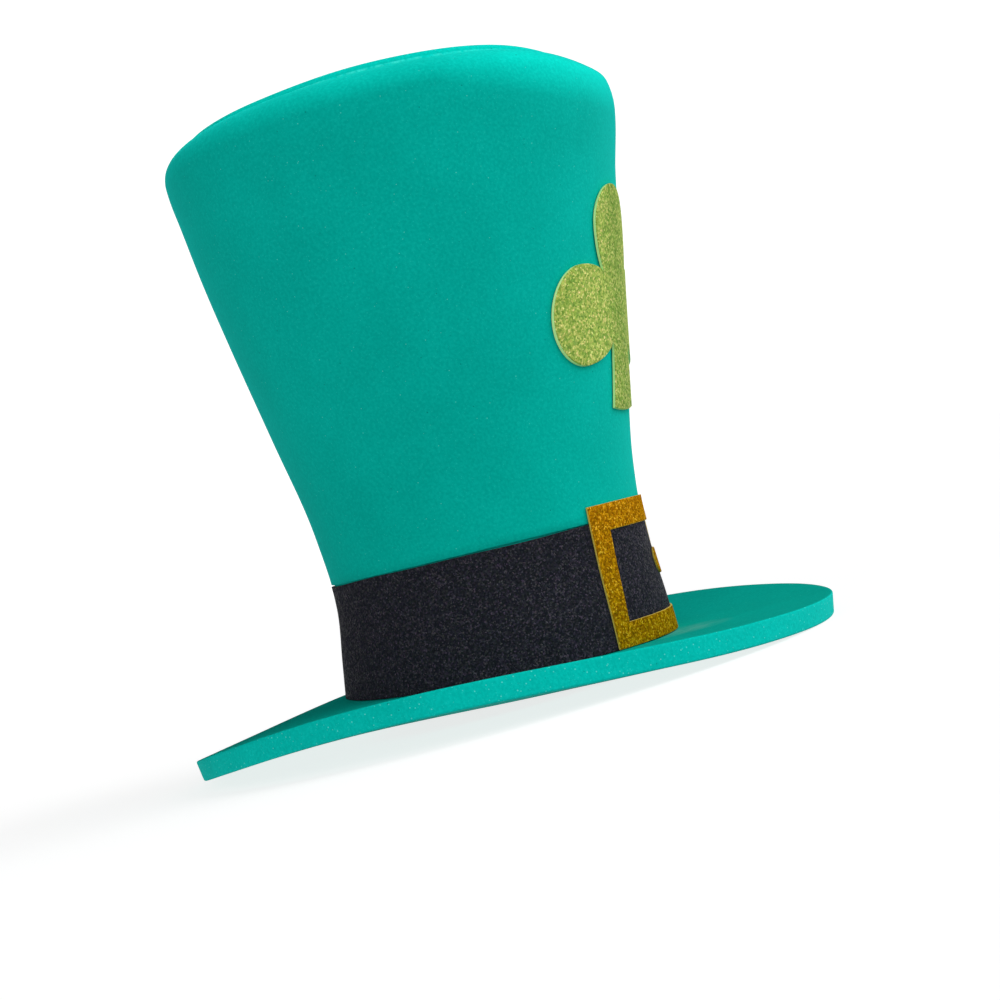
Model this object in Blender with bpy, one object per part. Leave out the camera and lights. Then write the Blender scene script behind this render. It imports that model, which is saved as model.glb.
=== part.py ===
# A tall costume top hat of thick foam: a flaring crown with a soft rolled top edge, a wide arched brim,
# a black glitter band with a gold glitter buckle, and a green glitter shamrock on the front.
#
# Lengths are in metres. The hat faces -Y, the wearer's right is -X, and +Z is up. The pieces are modelled in
# the crown's own frame, with the top of the brim at the foot of the crown at height 0. One empty then sets
# them down, so that the lowest points at the front and the back of the brim lie on the plane z = 0.

import math

import bmesh
import bpy
import numpy as np
from mathutils import Matrix, Vector

MM = 0.001

# Gaps and mesh fineness
GAP = 0.3 * MM
BRIM_SIDES = 88
CROWN_SIDES = 68

# Brim
BRIM_THICKNESS = 14.0 * MM
BRIM_RADIUS = 215.0 * MM
BRIM_SHIFT_BACK = 2.5 * MM
HEAD_HOLE_RADIUS = 98.0 * MM
BRIM_FLAT_RADIUS = 116.0 * MM
BRIM_EDGE_ROUND = 1.2 * MM
BRIM_SLOPE_POWER = 1.15
FRONT_CUT_OUT = 2.0 * MM
FRONT_CUT_IN = 0.8 * MM

# Height of the rim's top edge over the foot of the crown, as harmonics of the direction from the front
RIM_MEAN = -0.5 * MM
RIM_FRONT_LIFT = 6.6 * MM
RIM_ARCH = -9.15 * MM
RIM_QUARTER = 0.7 * MM

# Crown
CROWN_WALL_THICKNESS = 12.0 * MM
CROWN_PROFILE = (
    # name, height, radius of the hat's outer line
    ("foot", 0.0, 113.3),
    ("flare", 25.0, 109.8),
    ("waist", 60.0, 105.1),
    ("over_band", 110.0, 108.0),
    ("lower", 180.0, 120.8),
    ("upper", 260.0, 135.6),
    ("shoulder", 330.0, 147.6),
    ("widest", 355.0, 149.2),
)
ROLL_WIDTH = 21.0 * MM
ROLL_HEIGHT = 21.2 * MM
SEAM_RADIUS = 132.5 * MM
SHOULDER_TILT = 2.0 * MM
SEAM_FRONT_DROOP = 3.6 * MM

# The foot's plane falls towards the front
FOOT_TILT = 0.032

# How far the front is pressed in (or stands out, below zero) at each height
FRONT_PRESS = (
    ("foot", 0.0, 4.0),
    ("lower_bar", 15.0, 2.2),
    ("opening_low", 38.0, 1.2),
    ("opening_high", 62.0, 0.0),
    ("upper_bar", 90.0, 0.6),
    ("free", 130.0, 0.0),
    ("below_shoulder", 300.0, 0.0),
    ("shoulder", 345.0, -2.0),
    ("roll", 361.0, -1.8),
    ("seam", 373.0, 0.0),
)

# Disc in the top, flat in the middle, its edge falling towards the front and the back
TOP_DISC_HEIGHT = 379.5 * MM
TOP_DISC_THICKNESS = 13.0 * MM
TOP_DISC_EDGE_ROUND = 2.4 * MM
TOP_FLAT_RADIUS = 85.0 * MM
TOP_FRONT_DROOP = 7.5 * MM
TOP_BACK_DROOP = 3.0 * MM

# Band
BAND_THICKNESS = 2.0 * MM
BAND_TOP = 77.2 * MM
BAND_PROUD = 0.4 * MM
BAND_BOTTOM = 0.4 * MM
BAND_ROWS = (0.0, 0.17, 0.37, 0.6, 0.8, 1.0)
PRESS_FADE = 2.6 * MM

# Buckle
BUCKLE_THICKNESS = 1.8 * MM
BUCKLE_GAP = 0.4 * MM
BUCKLE_ROWS = (
    # name, height, half angle of the outer edge, half angle of the opening
    ("bottom", 0.6, 33.2, 27.0),
    ("opening_bottom", 15.5, 33.1, 26.1),
    ("lower_middle", 34.0, 32.8, 25.0),
    ("upper_middle", 53.0, 32.4, 24.0),
    ("opening_top", 71.0, 32.0, 23.2),
    ("top", 88.0, 31.6, 22.7),
)

# Tongue of the buckle
TONGUE_HEIGHT = 16.0 * MM
TONGUE_MIDDLE = 45.0 * MM
TONGUE_TIP = -8.0 * MM
TONGUE_TIP_STEPS = 6

# Shamrock
SHAMROCK_THICKNESS = 2.0 * MM
SHAMROCK_GAP = 0.55 * MM
SHAMROCK_CENTRE = 209.0 * MM
LEAF_HALF_WIDTH = 31.0 * MM
LEAF_OUTER = 27.0 * MM
LEAF_INNER = 43.0 * MM
LEAVES = (
    # name, turn from straight up in degrees, distance of the leaf's inner end from the centre
    ("top", 0.0, 7.2),
    ("left", 95.0, 6.5),
    ("right", -95.0, 6.5),
)
STEM_HALF_TOP = 13.0 * MM
STEM_HALF_BOTTOM = 19.5 * MM
STEM_BOTTOM = 145.5 * MM
STEM_BOTTOM_BULGE = 2.0 * MM
SHAMROCK_SIDES = 84
SHAMROCK_RINGS = (0.22, 0.42, 0.62, 0.81, 1.0)

# Colours
TEAL_FOAM = (0.0, 0.36, 0.29)
BLACK_GLITTER = (0.012, 0.014, 0.018)
GOLD_GLITTER = (0.42, 0.19, 0.008)
GREEN_GLITTER = (0.26, 0.33, 0.05)


# Scene and materials

def clear_scene():
    for old in list(bpy.data.objects):
        bpy.data.objects.remove(old, do_unlink=True)


def make_material(name, colour, roughness, metallic=0.0):
    material = bpy.data.materials.new(name)
    material.use_nodes = True
    shader = material.node_tree.nodes["Principled BSDF"]
    shader.inputs["Base Color"].default_value = (*colour, 1.0)
    shader.inputs["Roughness"].default_value = roughness
    shader.inputs["Metallic"].default_value = metallic
    material.diffuse_color = (*colour, 1.0)
    return material


def add_object(name, mesh_builder, material, parent, sharp_angle=35.0):
    mesh = bpy.data.meshes.new(name)
    bmesh.ops.recalc_face_normals(mesh_builder, faces=mesh_builder.faces)
    mesh_builder.to_mesh(mesh)
    mesh_builder.free()
    mesh.materials.append(material)
    mesh.shade_smooth()
    mesh.set_sharp_from_angle(angle=math.radians(sharp_angle))
    piece = bpy.data.objects.new(name, mesh)
    piece.parent = parent
    bpy.context.scene.collection.objects.link(piece)
    return piece


# Curves that the pieces share

def smooth_step(low, high, value):
    share = min(1.0, max(0.0, (value - low) / (high - low)))
    return share * share * (3.0 - 2.0 * share)


def smooth_table(rows, height):
    """Value at a height, on a smooth curve through rows of (name, height, value) in millimetres."""
    heights = np.array([row[1] for row in rows]) * MM
    values = np.array([row[2] for row in rows]) * MM
    slopes = np.gradient(values, heights)
    slopes[-1] = 0.0
    height = min(max(height, heights[0]), heights[-1])
    row = min(int(np.searchsorted(heights, height, side="right")) - 1, len(heights) - 2)
    step = heights[row + 1] - heights[row]
    t = (height - heights[row]) / step
    start = (2 * t ** 3 - 3 * t ** 2 + 1) * values[row] + (t ** 3 - 2 * t ** 2 + t) * step * slopes[row]
    end = (3 * t ** 2 - 2 * t ** 3) * values[row + 1] + (t ** 3 - t ** 2) * step * slopes[row + 1]
    return start + end


def crown_radius(height):
    return smooth_table(CROWN_PROFILE, height)


def band_press(height):
    """How far the tight band presses the foam in at a height."""
    depth = BAND_THICKNESS - BAND_PROUD + GAP
    return depth * (1.0 - smooth_step(BAND_TOP + GAP, BAND_TOP + GAP + PRESS_FADE, height))


def rim_height(direction):
    """Height of the rim's top edge, where direction is the angle from the front."""
    return (
        RIM_MEAN
        + RIM_FRONT_LIFT * math.cos(direction)
        + RIM_ARCH * math.cos(2.0 * direction)
        + RIM_QUARTER * math.cos(4.0 * direction)
    )


def on_circle(radius, height, direction):
    """A point at an angle from the front, turning towards the wearer's right."""
    return Vector((-radius * math.sin(direction), -radius * math.cos(direction), height))


def on_foot_plane(point):
    """Lowers a point of the level plane onto the foot's plane."""
    return Vector((point.x, point.y, point.z + FOOT_TILT * point.y))


def crown_point(radius, height, direction):
    """A point of the crown: turned, then pressed at the front and tilted at the foot and the shoulder."""
    point = on_circle(radius, height, direction)
    facing = math.cos(direction)
    in_front = max(0.0, facing)
    outside = smooth_step(SEAM_RADIUS, SEAM_RADIUS + 8.0 * MM, radius) if height > 300.0 * MM else 1.0
    point.y += smooth_table(FRONT_PRESS, height) * in_front ** 2 * outside
    point.z += FOOT_TILT * point.y * (1.0 - smooth_step(0.0, BAND_TOP, height))
    widest = CROWN_PROFILE[-1][1] * MM
    shoulder_share = smooth_step(widest - 50.0 * MM, widest - 5.0 * MM, height)
    shoulder_share *= 1.0 - smooth_step(widest + 4.0 * MM, widest + ROLL_HEIGHT, height)
    point.z += SHOULDER_TILT * facing * shoulder_share
    point.z -= SEAM_FRONT_DROOP * in_front ** 6 * smooth_step(widest + 8.0 * MM, widest + ROLL_HEIGHT, height)
    return point


def on_crown(direction, height, lift):
    """A point of a sheet on the crown, at a height and at a distance over its outer line."""
    return crown_point(crown_radius(height) + lift, height, direction)


# Mesh helpers

def close_rings(rings):
    """Joins closed rings of points one to the next, and the last to the first."""
    builder = bmesh.new()
    loops = [[builder.verts.new(point) for point in ring] for ring in rings]
    count = len(loops[0])
    for ring, following in zip(loops, loops[1:] + loops[:1]):
        for side in range(count):
            after = (side + 1) % count
            builder.faces.new((ring[side], ring[after], following[after], following[side]))
    return builder


def wrapped_sheet(grid, lift, thickness):
    """A sheet of even thickness on the crown, from a grid of (direction, height) rows."""
    builder = bmesh.new()
    layers = []
    for level in (lift, lift + thickness):
        layers.append([[builder.verts.new(on_crown(a, h, level)) for a, h in row] for row in grid])
    under, over = layers
    rows = len(grid)
    columns = len(grid[0])
    for r in range(rows - 1):
        for c in range(columns - 1):
            builder.faces.new((under[r][c], under[r + 1][c], under[r + 1][c + 1], under[r][c + 1]))
            builder.faces.new((over[r][c], over[r][c + 1], over[r + 1][c + 1], over[r + 1][c]))
    border = [(0, c) for c in range(columns)]
    border += [(r, columns - 1) for r in range(1, rows)]
    border += [(rows - 1, c) for c in range(columns - 2, -1, -1)]
    border += [(r, 0) for r in range(rows - 2, 0, -1)]
    for (r, c), (next_r, next_c) in zip(border, border[1:] + border[:1]):
        builder.faces.new((under[r][c], over[r][c], over[next_r][next_c], under[next_r][next_c]))
    return builder


# Brim

def brim_surface(direction, share):
    """A point of the brim's top: share runs from 0 at the crown's foot to 1 at the rim."""
    inner = on_foot_plane(on_circle(BRIM_FLAT_RADIUS, 0.0, direction))
    outer = on_circle(BRIM_RADIUS, rim_height(direction), direction) + Vector((0.0, BRIM_SHIFT_BACK, 0.0))
    point = inner.lerp(outer, share)
    point.z = inner.z + (outer.z - inner.z) * share ** BRIM_SLOPE_POWER
    return point


def brim_section(direction):
    """The brim's closed section at one direction, from the head hole out over the top and back below."""
    outward = on_circle(1.0, 0.0, direction)
    up = Vector((0.0, 0.0, 1.0))
    top = [on_foot_plane(on_circle(HEAD_HOLE_RADIUS, 0.0, direction))]
    below = [top[0] - up * BRIM_THICKNESS]
    shares = (0.0, 0.22, 0.48, 0.74)
    for share in shares:
        point = brim_surface(direction, share)
        ahead = brim_surface(direction, share + 0.01) - brim_surface(direction, max(0.0, share - 0.01))
        rise = math.atan2(ahead.z, ahead.dot(outward)) if share > 0.0 else 0.0
        normal = up * math.cos(rise) - outward * math.sin(rise)
        top.append(point)
        below.append(point - normal * BRIM_THICKNESS)
    rim = brim_surface(direction, 1.0)
    last = rim - brim_surface(direction, 0.97)
    rise = math.atan2(last.z, last.dot(outward))
    along = outward * math.cos(rise) + up * math.sin(rise)
    normal = up * math.cos(rise) - outward * math.sin(rise)
    edge = BRIM_EDGE_ROUND
    corner = 0.3 * edge
    depth = BRIM_THICKNESS
    rim_points = (
        (-edge, 0.0),
        (-corner, -corner),
        (0.0, -edge),
        (0.0, edge - depth),
        (-corner, corner - depth),
        (-edge, -depth),
    )
    facing = max(0.0, math.cos(direction)) ** 2
    slant = [FRONT_CUT_OUT * facing] * 3 + [-FRONT_CUT_IN * facing] * 3
    ends = [rim + along * (a + shift) + normal * b for (a, b), shift in zip(rim_points, slant)]
    return top + ends + below[::-1]


def make_brim(parent, material):
    sections = [brim_section(2.0 * math.pi * side / BRIM_SIDES) for side in range(BRIM_SIDES)]
    rings = [list(ring) for ring in zip(*sections)]
    return add_object("brim", close_rings(rings), material, parent)


# Crown

def wall_profile():
    """The wall's closed section as (radius, height): up the outer side, over the roll, and down inside."""
    widest = CROWN_PROFILE[-1][1] * MM
    outer = []
    for share in BAND_ROWS:
        height = BAND_BOTTOM + (BAND_TOP - BAND_BOTTOM) * share
        outer.append((crown_radius(height) - band_press(height), height))
    fade_top = BAND_TOP + GAP + PRESS_FADE
    outer[-1] = (crown_radius(BAND_TOP) - band_press(BAND_TOP), BAND_TOP + GAP)
    outer.append((crown_radius(fade_top), fade_top))
    for height in (100.0, 128.0, 160.0, 200.0, 245.0, 290.0, 325.0):
        outer.append((crown_radius(height * MM), height * MM))
    roll_centre = CROWN_PROFILE[-1][2] * MM - ROLL_WIDTH
    seam_turn = math.acos((SEAM_RADIUS - roll_centre) / ROLL_WIDTH)
    roll_steps = 6
    for step in range(roll_steps + 1):
        turn = seam_turn * step / roll_steps
        outer.append((roll_centre + ROLL_WIDTH * math.cos(turn), widest + ROLL_HEIGHT * math.sin(turn)))
    inner_width = ROLL_WIDTH - CROWN_WALL_THICKNESS
    inner_height = ROLL_HEIGHT - CROWN_WALL_THICKNESS
    inner_turn = math.acos((SEAM_RADIUS - roll_centre) / inner_width)
    inner = []
    for step in (2, 1, 0):
        turn = inner_turn * step / 2
        inner.append((roll_centre + inner_width * math.cos(turn), widest + inner_height * math.sin(turn)))
    for height in (300.0, 245.0, 180.0, 128.0, 90.0, 55.0, 25.0):
        inner.append((crown_radius(height * MM) - CROWN_WALL_THICKNESS, height * MM))
    inner.append((crown_radius(0.0) - CROWN_WALL_THICKNESS, BAND_BOTTOM))
    return outer + inner


def turned_rings(profile, sides):
    """Rings of points round the crown for a profile of (radius, height)."""
    rings = []
    for radius, height in profile:
        turns = [2.0 * math.pi * side / sides for side in range(sides)]
        rings.append([crown_point(radius, height, turn) for turn in turns])
    return rings


def make_crown_wall(parent, material):
    return add_object("crown_wall", close_rings(turned_rings(wall_profile(), CROWN_SIDES)), material, parent)


def top_droop(radius, direction):
    """How far the disc in the top lies under its flat middle."""
    facing = math.cos(direction)
    edge = TOP_FRONT_DROOP * facing ** 6 if facing > 0.0 else TOP_BACK_DROOP * facing ** 2
    return edge * smooth_step(TOP_FLAT_RADIUS, SEAM_RADIUS, radius)


def make_crown_top(parent, material):
    outside = SEAM_RADIUS - GAP
    edge = TOP_DISC_EDGE_ROUND
    middle = 0.5 * (TOP_FLAT_RADIUS + outside)
    bottom = TOP_DISC_HEIGHT - TOP_DISC_THICKNESS
    profile = (
        (TOP_FLAT_RADIUS, bottom),
        (outside, bottom),
        (outside, TOP_DISC_HEIGHT - edge),
        (outside - 0.3 * edge, TOP_DISC_HEIGHT - 0.3 * edge),
        (outside - edge, TOP_DISC_HEIGHT),
        (middle, TOP_DISC_HEIGHT),
        (TOP_FLAT_RADIUS, TOP_DISC_HEIGHT),
    )
    builder = bmesh.new()
    loops = []
    for radius, height in profile:
        turns = [2.0 * math.pi * side / CROWN_SIDES for side in range(CROWN_SIDES)]
        ring = [on_circle(radius, height - top_droop(radius, turn), turn) for turn in turns]
        loops.append([builder.verts.new(point) for point in ring])
    for ring, following in zip(loops, loops[1:]):
        for side in range(CROWN_SIDES):
            after = (side + 1) % CROWN_SIDES
            builder.faces.new((ring[side], ring[after], following[after], following[side]))
    builder.faces.new(loops[0][::-1])
    builder.faces.new(loops[-1])
    return add_object("crown_top", builder, material, parent)


# Band

def make_hat_band(parent, material):
    outer = []
    for share in BAND_ROWS:
        height = BAND_BOTTOM + (BAND_TOP - BAND_BOTTOM) * share
        outer.append((crown_radius(height) + BAND_PROUD, height))
    inner = [(radius - BAND_THICKNESS, height) for radius, height in outer[::-1]]
    return add_object("hat_band", close_rings(turned_rings(outer + inner, CROWN_SIDES)), material, parent)


# Buckle

def make_buckle_frame(parent, material):
    lift = BAND_PROUD + BUCKLE_GAP
    bar_steps = 2
    opening_steps = 12
    grid = []
    for _, height, outer, inner in BUCKLE_ROWS:
        bar = [outer + (inner - outer) * step / bar_steps for step in range(bar_steps)]
        opening = [inner - 2.0 * inner * step / opening_steps for step in range(opening_steps + 1)]
        angles = bar + opening + [-angle for angle in bar[::-1]]
        grid.append([(math.radians(angle), height * MM) for angle in angles])
    builder = bmesh.new()
    under = [[builder.verts.new(on_crown(a, h, lift)) for a, h in row] for row in grid]
    over = [[builder.verts.new(on_crown(a, h, lift + BUCKLE_THICKNESS)) for a, h in row] for row in grid]
    last_row = len(grid) - 2
    last_column = len(grid[0]) - 2

    def solid(row, column):
        if row < 0 or row > last_row or column < 0 or column > last_column:
            return False
        return row in (0, last_row) or column < bar_steps or column > last_column - bar_steps

    for r in range(last_row + 1):
        for c in range(last_column + 1):
            if not solid(r, c):
                continue
            builder.faces.new((under[r][c], under[r + 1][c], under[r + 1][c + 1], under[r][c + 1]))
            builder.faces.new((over[r][c], over[r][c + 1], over[r + 1][c + 1], over[r + 1][c]))
            sides = (
                ((r, c), (r, c + 1), solid(r - 1, c)),
                ((r, c + 1), (r + 1, c + 1), solid(r, c + 1)),
                ((r + 1, c + 1), (r + 1, c), solid(r + 1, c)),
                ((r + 1, c), (r, c), solid(r, c - 1)),
            )
            for (r1, c1), (r2, c2), joined in sides:
                if not joined:
                    builder.faces.new((under[r1][c1], under[r2][c2], over[r2][c2], over[r1][c1]))
    loose = [vert for vert in builder.verts if not vert.link_faces]
    bmesh.ops.delete(builder, geom=loose, context="VERTS")
    return add_object("buckle_frame", builder, material, parent)


def make_buckle_tongue(parent, material):
    radius = crown_radius(TONGUE_MIDDLE) + BAND_PROUD + BUCKLE_GAP
    bar = math.radians(min(row[3] for row in BUCKLE_ROWS[2:4])) * radius
    root = -bar + 2.0 * GAP
    half = 0.5 * TONGUE_HEIGHT
    straight_end = TONGUE_TIP - half
    grid = []
    for row in range(5):
        across = -1.0 + 0.5 * row
        points = []
        for column in range(5):
            points.append((root + (straight_end - root) * column / 4, TONGUE_MIDDLE + half * across))
        for step in range(1, TONGUE_TIP_STEPS + 1):
            turn = 0.5 * math.pi * step / TONGUE_TIP_STEPS
            narrow = max(0.12, math.cos(turn))
            points.append((straight_end + half * math.sin(turn), TONGUE_MIDDLE + half * across * narrow))
        grid.append([(along / radius, height) for along, height in points])
    lift = BAND_PROUD + BUCKLE_GAP
    return add_object("buckle_tongue", wrapped_sheet(grid, lift, BUCKLE_THICKNESS), material, parent)


# Shamrock

def ray_to_leaf(direction, turn, start):
    """Distance from the shamrock's centre to the far edge of an egg-shaped leaf, along a direction."""
    axis = Vector((-math.sin(turn), math.cos(turn)))
    ray = Vector((-math.sin(direction), math.cos(direction)))
    reach = 0.0
    for distance in np.linspace(0.0, 100.0 * MM, 1001):
        point = ray * distance
        length = point.dot(axis) - start - LEAF_INNER
        width = point.x * axis.y - point.y * axis.x
        long_half = LEAF_OUTER if length > 0.0 else LEAF_INNER
        if (length / long_half) ** 2 + (width / LEAF_HALF_WIDTH) ** 2 <= 1.0:
            reach = distance
    return reach


def ray_to_stem(direction):
    """Distance from the shamrock's centre to the edge of its flaring stem, along a direction."""
    if math.cos(direction) >= 0.0:
        return 0.0
    length = SHAMROCK_CENTRE - STEM_BOTTOM
    steep = -math.cos(direction)
    side = abs(math.sin(direction))
    flare = (STEM_HALF_BOTTOM - STEM_HALF_TOP) / length
    to_side = STEM_HALF_TOP / max(1e-9, side - flare * steep) if side > flare * steep else 1.0
    to_bottom = length / steep
    if to_bottom < to_side:
        across = to_bottom * side / STEM_HALF_BOTTOM
        return to_bottom + STEM_BOTTOM_BULGE * (1.0 - across ** 2)
    return to_side


def shamrock_outline():
    """The outline as (along, height) from the centre, once round: three leaves and the stem."""
    corner = math.pi - math.atan2(STEM_HALF_BOTTOM, SHAMROCK_CENTRE - STEM_BOTTOM)
    outline = []
    for side in range(SHAMROCK_SIDES):
        direction = -math.pi + 2.0 * math.pi * side / SHAMROCK_SIDES
        for target in (-corner, corner):
            if abs(direction - target) < math.pi / SHAMROCK_SIDES:
                direction = target
        reach = ray_to_stem(direction)
        for _, turn, start in LEAVES:
            reach = max(reach, ray_to_leaf(direction, math.radians(turn), start * MM))
        outline.append((-math.sin(direction) * reach, math.cos(direction) * reach))
    return outline


def make_shamrock(parent, material):
    outline = shamrock_outline()
    builder = bmesh.new()
    layers = []
    for lift in (SHAMROCK_GAP, SHAMROCK_GAP + SHAMROCK_THICKNESS):
        centre = builder.verts.new(on_crown(0.0, SHAMROCK_CENTRE, lift))
        rings = []
        for share in SHAMROCK_RINGS:
            ring = []
            for along, up in outline:
                height = SHAMROCK_CENTRE + up * share
                direction = along * share / (crown_radius(height) + lift)
                ring.append(builder.verts.new(on_crown(direction, height, lift)))
            rings.append(ring)
        layers.append((centre, rings))
    for centre, rings in layers:
        for side in range(SHAMROCK_SIDES):
            after = (side + 1) % SHAMROCK_SIDES
            builder.faces.new((centre, rings[0][side], rings[0][after]))
            for ring, following in zip(rings, rings[1:]):
                builder.faces.new((ring[side], following[side], following[after], ring[after]))
    under = layers[0][1][-1]
    over = layers[1][1][-1]
    for side in range(SHAMROCK_SIDES):
        after = (side + 1) % SHAMROCK_SIDES
        builder.faces.new((under[side], under[after], over[after], over[side]))
    return add_object("shamrock", builder, material, parent, sharp_angle=40.0)


# Setting the hat down

def set_down(frame, brim):
    """Turns and lifts the hat so that the brim's front and back ends lie on z = 0, centred on the origin."""
    points = [vertex.co for vertex in brim.data.vertices]
    front = min((p for p in points if p.y < 0.0 and abs(p.x) < 1e-6), key=lambda p: p.z)
    back = min((p for p in points if p.y > 0.0 and abs(p.x) < 1e-6), key=lambda p: p.z)
    lean = math.atan2(front.z - back.z, back.y - front.y)
    turn = Matrix.Rotation(lean, 4, "X")
    placed = [turn @ p for p in points]
    lowest = min(p.z for p in placed)
    middle = 0.5 * (min(p.y for p in placed) + max(p.y for p in placed))
    frame.rotation_euler = (lean, 0.0, 0.0)
    frame.location = (0.0, -middle, -lowest)


def main():
    clear_scene()
    frame = bpy.data.objects.new("hat_frame", None)
    bpy.context.scene.collection.objects.link(frame)
    teal = make_material("teal_foam", TEAL_FOAM, 0.85)
    black = make_material("black_glitter", BLACK_GLITTER, 0.55)
    gold = make_material("gold_glitter", GOLD_GLITTER, 0.4, 0.6)
    green = make_material("green_glitter", GREEN_GLITTER, 0.45, 0.4)
    brim = make_brim(frame, teal)
    make_crown_wall(frame, teal)
    make_crown_top(frame, teal)
    make_hat_band(frame, black)
    make_buckle_frame(frame, gold)
    make_buckle_tongue(frame, gold)
    make_shamrock(frame, green)
    set_down(frame, brim)
    bpy.context.view_layer.update()


main()
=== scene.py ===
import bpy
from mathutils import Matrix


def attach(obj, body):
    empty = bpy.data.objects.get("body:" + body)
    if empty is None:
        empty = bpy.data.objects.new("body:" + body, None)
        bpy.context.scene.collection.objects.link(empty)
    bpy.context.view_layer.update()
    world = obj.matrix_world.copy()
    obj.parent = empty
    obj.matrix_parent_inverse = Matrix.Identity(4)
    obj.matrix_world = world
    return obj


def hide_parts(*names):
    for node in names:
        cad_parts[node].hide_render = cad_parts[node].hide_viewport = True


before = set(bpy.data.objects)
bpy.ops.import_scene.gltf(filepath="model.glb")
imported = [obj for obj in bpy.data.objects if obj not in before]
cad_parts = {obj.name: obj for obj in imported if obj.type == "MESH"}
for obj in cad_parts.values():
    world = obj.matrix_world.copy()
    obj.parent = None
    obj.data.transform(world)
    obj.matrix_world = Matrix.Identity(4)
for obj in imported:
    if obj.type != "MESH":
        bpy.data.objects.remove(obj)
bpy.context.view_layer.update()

import math

import bpy
import numpy as np
from mathutils import Matrix, Vector

# A tall foam top hat with a glitter band, buckle and shamrock. Lengths are in metres. The crown's own frame
# has the top of the brim at the crown's foot at height 0. HAT sets it down on the floor with its slight lean.

MM = 0.001
HAT_LEAN = 0.03418188914656639
HAT_PLACE = (0.0, -0.001707807, 0.023572611)
HAT_UP = (0.0, -math.sin(HAT_LEAN), math.cos(HAT_LEAN))
HAT = Matrix.Translation(HAT_PLACE) @ Matrix.Rotation(HAT_LEAN, 4, "X")
GAP = 0.3 * MM

# Measures of the brim; shares run from its flat ring, 0, to its rim, 1
BRIM_THICKNESS = 14.0 * MM
BRIM_RADIUS = 215.0 * MM
BRIM_SHIFT_BACK = 2.5 * MM
HEAD_HOLE_RADIUS = 98.0 * MM
BRIM_FLAT_RADIUS = 116.0 * MM
BRIM_SLOPE_POWER = 1.15
BRIM_BLEND = 0.12
BRIM_EDGE_ROUND = 1.4 * MM
BRIM_UNEVEN = 0.25 * MM
BRIM_UNEVEN_SHARES = (0.2, 0.7)
BRIM_WAVE_SPAN = 0.1
BRIM_SLOPE_STEP = 0.004
RIM_SLOPE_SHARE = 0.985
FRONT_CUT_OUT = 2.0 * MM
FRONT_CUT_IN = 0.8 * MM
RIM_MEAN = -0.5 * MM
RIM_FRONT_LIFT = 6.6 * MM
RIM_ARCH = -9.15 * MM
RIM_QUARTER = 0.7 * MM

# Measures of the crown's wall
WALL_THICKNESS = 12.0 * MM
WALL_UNEVEN = 0.35 * MM
WALL_UNEVEN_FROM = (90.0 * MM, 130.0 * MM)
WALL_ABOVE_BAND = 84.0 * MM
FOOT_TILT = 0.032
CROWN_PROFILE = (
    # name, height, outer radius in millimetres
    ("foot", 0.0, 113.3),
    ("flare", 25.0, 109.8),
    ("waist", 60.0, 105.1),
    ("over_band", 110.0, 108.0),
    ("lower", 180.0, 120.8),
    ("upper", 260.0, 135.6),
    ("shoulder", 330.0, 147.0),
    ("under_roll", 345.0, 149.7),
    ("widest", 355.0, 150.3),
)
FRONT_PRESS = (
    # name, height, how far the front is pressed in, in millimetres
    ("foot", 0.0, 4.0),
    ("lower_bar", 15.0, 2.2),
    ("opening_low", 38.0, 0.2),
    ("opening_high", 62.0, -1.5),
    ("upper_bar", 90.0, -0.7),
    ("free", 130.0, -0.8),
    ("above_shamrock", 240.0, 0.0),
    ("below_shoulder", 300.0, -1.3),
    ("shoulder", 338.0, -4.4),
    ("roll", 361.0, -0.9),
    ("seam", 373.0, 0.0),
)
BACK_PRESS = (
    # name, height, how far the back is pressed in, in millimetres
    ("free", 250.0, 0.0),
    ("below_shoulder", 300.0, 0.0),
    ("shoulder", 326.0, 1.1),
    ("under_roll", 345.0, 2.0),
    ("widest", 358.0, 1.6),
    ("roll", 370.0, 0.0),
)

# The roll round the crown's upper edge; the pairs are heights from the widest ring
WIDEST = 355.0 * MM
ROLL_WIDTH = 21.0 * MM
ROLL_HEIGHT = 19.2 * MM
ROLL_FLATNESS = 1.02
SEAM_RADIUS = 132.5 * MM
SEAM_CALM_ABOVE = 300.0 * MM
SEAM_CALM_WIDTH = 8.0 * MM
SHOULDER_FRONT_LIFT = 2.0 * MM
SHOULDER_BACK_LIFT = 1.0 * MM
SHOULDER_LIFT_FROM = (-50.0 * MM, -5.0 * MM)
SHOULDER_LIFT_TO = (4.0 * MM, ROLL_HEIGHT)
ROLL_FRONT_DROOP = 4.8 * MM
ROLL_DROOP_POWER = 15
ROLL_DROOP_FROM = (-8.0 * MM, 12.0 * MM)
ROLL_UNEVEN_TO = (10.0 * MM, 19.0 * MM)

# The disc that closes the crown
TOP_HEIGHT = 379.0 * MM
TOP_THICKNESS = 13.0 * MM
TOP_ROUND = 3.0 * MM
TOP_SEAM_DEPTHS = (9.5 * MM, 7.0 * MM, 5.4 * MM, 3.5 * MM)
TOP_FLAT_RADIUS = 85.0 * MM
TOP_FRONT_DROOP = 6.0 * MM
TOP_BACK_DROOP = 1.7 * MM
TOP_BACK_FACING = (-0.45, 0.25)
TOP_DROOP_POWER = 9
TOP_UNEVEN = 0.2 * MM
TOP_UNEVEN_FROM = 0.11
TOP_MIDDLE_RADII = (0.02, 0.06)

# Band
BAND_THICKNESS = 2.0 * MM
BAND_TOP = 77.2 * MM
BAND_PROUD = 0.4 * MM
BAND_BOTTOM = 0.4 * MM
BAND_EDGE_ROUND = 0.45 * MM
PRESS_FADE = 0.8 * MM

# Seams at the back: half width in degrees, depth
WALL_SEAM = (0.26, 0.7 * MM)
BAND_SEAM = (0.22, 0.5 * MM)

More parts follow.
